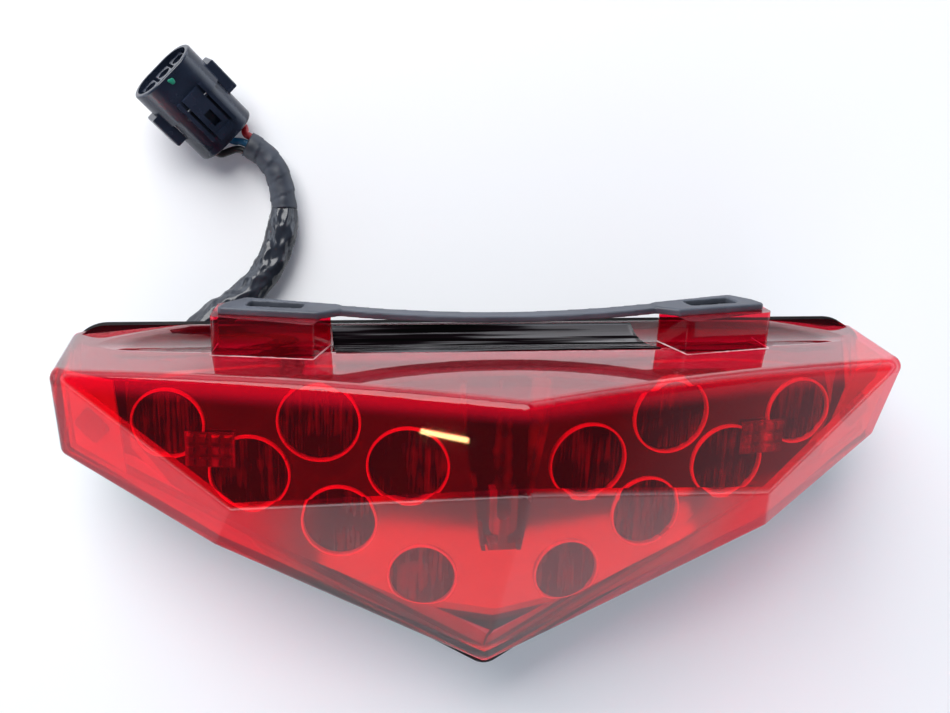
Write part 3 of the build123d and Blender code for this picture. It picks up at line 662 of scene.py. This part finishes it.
def lens_finish():
    """Clear deep red plastic: hard gloss, painted glow on rim, brow and sides, and a pale haze on the top
    panel that is partly dust and partly painted reflection.
    """
    finish = Finish(
        "clear_red_lens", LENS_RED, 0.04,
        Transmission_Weight=0.97, IOR=1.02, Coat_Weight=1.0, Coat_IOR=LENS_GLOSS, Coat_Roughness=0.02,
    )
    finish.feed(finish.spread(finish.noise(45.0), 0.02, 0.06), "Roughness")
    finish.bump(finish.noise(14.0, detail=1.0), 0.25, 0.0004, "Coat Normal")

    coordinates = finish.nodes.new("ShaderNodeTexCoord")
    where = coordinates.outputs["Object"]
    normal = coordinates.outputs["Normal"]
    split = finish.nodes.new("ShaderNodeSeparateXYZ")
    finish.links.new(where, split.inputs["Vector"])
    place = split.outputs
    sideways = finish.joined(place["X"], place["X"], "MULTIPLY")
    panel = panel_mask(finish, where, normal, sideways)
    dust_and_sheen = finish.joined(panel, dust_and_sheen_mask(finish, where, sideways), "MULTIPLY")

    # Painted glow on the side facets and on the outer ends of the lower ones, as cloudiness
    side = finish.ruled(finish.facing(normal, SIDE_FACET), *ON_FACET, 0.0, WEDGE_PAINTED_GLOW)
    lower = finish.joined(
        finish.ruled(finish.facing(normal, LOWER_FACET), *ON_FACET, 0.0, 1.0),
        finish.ruled(sideways, *LOWER_SIDEWAYS, 0.0, WEDGE_PAINTED_GLOW), "MULTIPLY",
    )

    # The base colour turns pale with the dust and the painted reflection on the panel
    body = finish.nodes.new("ShaderNodeMix")
    body.data_type = "RGBA"
    body.inputs[6].default_value = (*LENS_RED, 1.0)
    body.inputs[7].default_value = (*DUST_AND_SHEEN_RED, 1.0)
    finish.links.new(dust_and_sheen, body.inputs[0])
    finish.feed(body.outputs[2], "Base Color")

    # Cloudiness: the plastic's haze, the painted glows, and the panel's dust with its painted reflection
    haze_and_painted_glow = haze_and_painted_rim_glow(finish, place)
    for part in (painted_brow_glow(finish, where), side, lower, dust_and_sheen):
        haze_and_painted_glow = finish.joined(haze_and_painted_glow, part, "MAXIMUM")
    finish.feed(finish.joined(1.0, haze_and_painted_glow, "SUBTRACT"), "Transmission Weight")
    duller = finish.joined(
        finish.ruled(side, 0.0, WEDGE_PAINTED_GLOW, 0.0, SIDE_DULLING),
        finish.ruled(lower, 0.0, WEDGE_PAINTED_GLOW, 0.0, LOWER_DULLING), "MAXIMUM",
    )
    gloss = finish.ruled(panel, 0.0, 1.0, LENS_GLOSS, PANEL_GLOSS)
    finish.feed(finish.joined(gloss, duller, "SUBTRACT"), "Coat IOR")

    clear = finish.nodes.new("ShaderNodeBsdfTransparent")
    clear.inputs["Color"].default_value = (*SHADOW_TINT, 1.0)
    rays = finish.nodes.new("ShaderNodeLightPath")
    mix = finish.nodes.new("ShaderNodeMixShader")
    finish.links.new(rays.outputs["Is Shadow Ray"], mix.inputs["Fac"])
    finish.links.new(finish.shader.outputs["BSDF"], mix.inputs[1])
    finish.links.new(clear.outputs["BSDF"], mix.inputs[2])
    finish.links.new(mix.outputs["Shader"], finish.nodes["Material Output"].inputs["Surface"])
    return finish.material


# ---- the other materials --------------------------------------------------------
POLISHED = 0.000005        # depth of the grain on polished or metallised parts

tub_black = plain_finish("tub_black", (0.006, 0.006, 0.007), (0.014, 0.014, 0.015), (0.35, 0.5), 900)
seal_grey = plain_finish("seal_rubber", (0.02, 0.02, 0.02), (0.035, 0.035, 0.035), (0.6, 0.75), 700)
damper_rubber = plain_finish(
    "damper_rubber", (0.032, 0.037, 0.050), (0.062, 0.069, 0.088), (0.38, 0.55), 800,
)
brass = plain_finish("brass", (0.6, 0.42, 0.17), (0.75, 0.55, 0.25), (0.2, 0.35), 500, Metallic=1.0)
mirror_coat = plain_finish(
    "mirror_coat", (0.60, 0.46, 0.46), (0.72, 0.56, 0.56), (0.04, 0.08), 250,
    depth=POLISHED, Metallic=1.0,
)
cup_rim = plain_finish(
    "cup_rim", (0.90, 0.60, 0.50), (1.00, 0.75, 0.62), (0.25, 0.40), 400, depth=POLISHED, Metallic=0.6,
)
# optics, grids and the middle cover with painted highlight streaks
disc_red = fluted_finish("fluted_optic", (0.008, 0.005, 0.005), (0.22, 0.15, 0.14), 1400.0)
grid_bright = fluted_finish("grid_optic", (0.15, 0.10, 0.10), (0.70, 0.60, 0.60), 500.0)
cover_streaks = fluted_finish("cover_streaks", (0.004, 0.002, 0.002), (0.30, 0.13, 0.10), 240.0)
baffle_red = plain_finish("baffle_red", (0.32, 0.14, 0.14), (0.50, 0.22, 0.22), (0.3, 0.45), 300)
skirt_red = plain_finish(
    "skirt_red", (0.80, 0.55, 0.55), (0.95, 0.70, 0.70), (0.25, 0.40), 260, depth=POLISHED, Metallic=1.0,
)
# dimmer copy of the skirt metal: painted shade
shaded_band_red = plain_finish(
    "shaded_band_red", (0.34, 0.19, 0.21), (0.48, 0.28, 0.30), (0.40, 0.55), 260, depth=POLISHED, Metallic=0.6,
)
# the black of the sheets put in the channel hollow and the damper slots as painted shade
shade_sheet_black = streaked_finish("shade_sheet_black", (0.001, 0.001, 0.001), (0.008, 0.004, 0.006))
paint_green = plain_finish("paint_green", (0.01, 0.22, 0.13), (0.02, 0.36, 0.22), (0.3, 0.5), 900)
dust_pale = plain_finish("dust_pale", (0.30, 0.17, 0.18), (0.62, 0.45, 0.46), (0.8, 0.95), 900)
board_green = plain_finish("board_green", (0.01, 0.07, 0.03), (0.02, 0.11, 0.05), (0.25, 0.4), 500)
led_white = plain_finish("led_white", (0.6, 0.5, 0.2), (0.8, 0.75, 0.5), (0.3, 0.4), 900)
chip_black = plain_finish("chip_black", (0.01, 0.01, 0.01), (0.02, 0.02, 0.02), (0.4, 0.55), 900)
zinc = plain_finish("zinc_steel", (0.45, 0.45, 0.46), (0.6, 0.6, 0.62), (0.25, 0.4), 700, Metallic=1.0)
sleeve_black = plain_finish("sleeve_black", (0.010, 0.012, 0.018), (0.026, 0.030, 0.040), (0.14, 0.26), 500)
tape_grey = plain_finish("tape_grey", (0.018, 0.022, 0.032), (0.044, 0.052, 0.072), (0.45, 0.62), 600)
plug_black = plain_finish("plug_black", (0.007, 0.011, 0.022), (0.014, 0.020, 0.038), (0.18, 0.30), 900)
tin = plain_finish("tin", (0.5, 0.5, 0.48), (0.7, 0.7, 0.68), (0.2, 0.35), 700, Metallic=1.0)
wire_red = plain_finish("wire_red", (0.35, 0.005, 0.01), (0.5, 0.01, 0.02), (0.3, 0.4), 700)
wire_blue = plain_finish("wire_blue", (0.005, 0.10, 0.22), (0.01, 0.16, 0.32), (0.3, 0.4), 700)
wire_black = plain_finish("wire_black", (0.01, 0.01, 0.01), (0.02, 0.02, 0.02), (0.3, 0.4), 700)

cad_finishes = {
    "outer_lens": lens_finish(), "rear_housing": tub_black, "lens_seal": seal_grey,
    "mount_inserts": brass, "breather_cap": seal_grey, "lead_gland": damper_rubber,
    "carrier_plate": mirror_coat, "reflector_cups": cup_rim, "fluted_discs": disc_red,
    "circuit_board_left": board_green, "circuit_board_right": board_green,
    "light_sources": led_white, "board_chips": chip_black, "board_screws": zinc,
    "middle_cover": cover_streaks, "middle_clip": grid_bright,
    "side_baffle_left": baffle_red, "side_baffle_right": baffle_red,
    "side_reflector_left": disc_red, "side_reflector_right": disc_red,
    "reflex_grids": grid_bright, "rubber_damper": damper_rubber,
    "harness_sleeve": sleeve_black, "plug_housing": plug_black, "plug_latch": plug_black,
    "plug_retainer_left": plug_black, "plug_retainer_right": plug_black,
    "plug_seal": seal_grey, "plug_terminals": tin, "wire_seals": seal_grey,
    "wire_red": wire_red, "wire_blue": wire_blue, "wire_black": wire_black,
    "board_header": chip_black, "inner_lead": wire_black,
}
for node, material in cad_finishes.items():
    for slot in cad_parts[node].material_slots:
        slot.material = material

piece_finishes = (
    ([vinyl_sleeve], sleeve_black), ([tape_wrap], tape_grey), (skirts, skirt_red),
    (shaded_rim_bands, shaded_band_red), ([shade_sheet, *slot_shade_sheets], shade_sheet_black), (dust_beads, dust_pale),
    ([mark], paint_green), ([soft_damper], damper_rubber),
)
for pieces, material in piece_finishes:
    for piece in pieces:
        piece.data.materials.clear()
        piece.data.materials.append(material)


# ---- floor and light ------------------------------------------------------------
def add_floor():
    """A plain pale floor."""
    half = 2.0
    mesh = bpy.data.meshes.new("floor")
    corners = [(-half, -half, 0), (half, -half, 0), (half, half, 0), (-half, half, 0)]
    mesh.from_pydata(corners, [], [(0, 1, 2, 3)])
    mesh.materials.append(Finish("pale_floor", (0.90, 0.90, 0.91), 0.5).material)
    link(bpy.data.objects.new("floor", mesh))


def add_area(name, place, size, radiance, color=(1, 1, 1), aim=(0, 0, 0)):
    """A soft box of the given sides that faces the aim and glows evenly."""
    data = bpy.data.lights.new(name, "AREA")
    data.shape = "RECTANGLE"
    data.size, data.size_y = size
    data.energy = radiance * math.pi * size[0] * size[1]
    data.color = color
    light = link(bpy.data.objects.new(name, data))
    light.location = place
    light.rotation_euler = (Vector(aim) - light.location).to_track_quat("-Z", "Y").to_euler()
    return light


def add_tube(name, place, along, size, radiance, color):
    """A short warm tube that faces the lamp; the lens mirrors it as a streak."""
    light = add_area(name, place, size, radiance, color)
    away = Vector(place).normalized()
    right = Vector(along)
    right = (right - away * right.dot(away)).normalized()
    turn = Matrix((right, away.cross(right), away)).transposed()
    light.rotation_euler = turn.to_euler()


def add_world():
    """A bright room low down, and a dim one overhead."""
    world = bpy.data.worlds.new("world")
    bpy.context.scene.world = world
    world.use_nodes = True
    nodes = world.node_tree.nodes
    links = world.node_tree.links
    where = nodes.new("ShaderNodeTexCoord")
    split = nodes.new("ShaderNodeSeparateXYZ")
    blend = nodes.new("ShaderNodeValToRGB")
    low, high = blend.color_ramp.elements
    low.position = 0.10
    low.color = (0.97, 1.05, 1.17, 1)
    high.position = 0.50
    high.color = (0.030, 0.038, 0.052, 1)
    links.new(where.outputs["Generated"], split.inputs["Vector"])
    links.new(split.outputs["Z"], blend.inputs["Fac"])
    links.new(blend.outputs["Color"], nodes["Background"].inputs["Color"])
    nodes["Background"].inputs["Strength"].default_value = 2.9


add_floor()
add_world()
add_area("window", (-0.45, 0.85, 0.95), (1.0, 0.9), 7.4)
add_area("front_left", (-0.24, -1.17, 1.005), (0.36, 0.30), 1.5, aim=(-0.24, 0.0, 0.05))
add_area("front_low", (-0.30, -1.3, 0.35), (1.8, 0.35), 3.0)
add_area("front_right", (0.78, -1.17, 0.90), (0.46, 0.30), 1.5, aim=(0.80, 0.0, 0.05))
add_tube(
    "tube", (-0.721, -0.455, 1.079), (0.858, -0.256, 0.446), (0.064, 0.006), 70.0, (1.0, 0.78, 0.32),
)
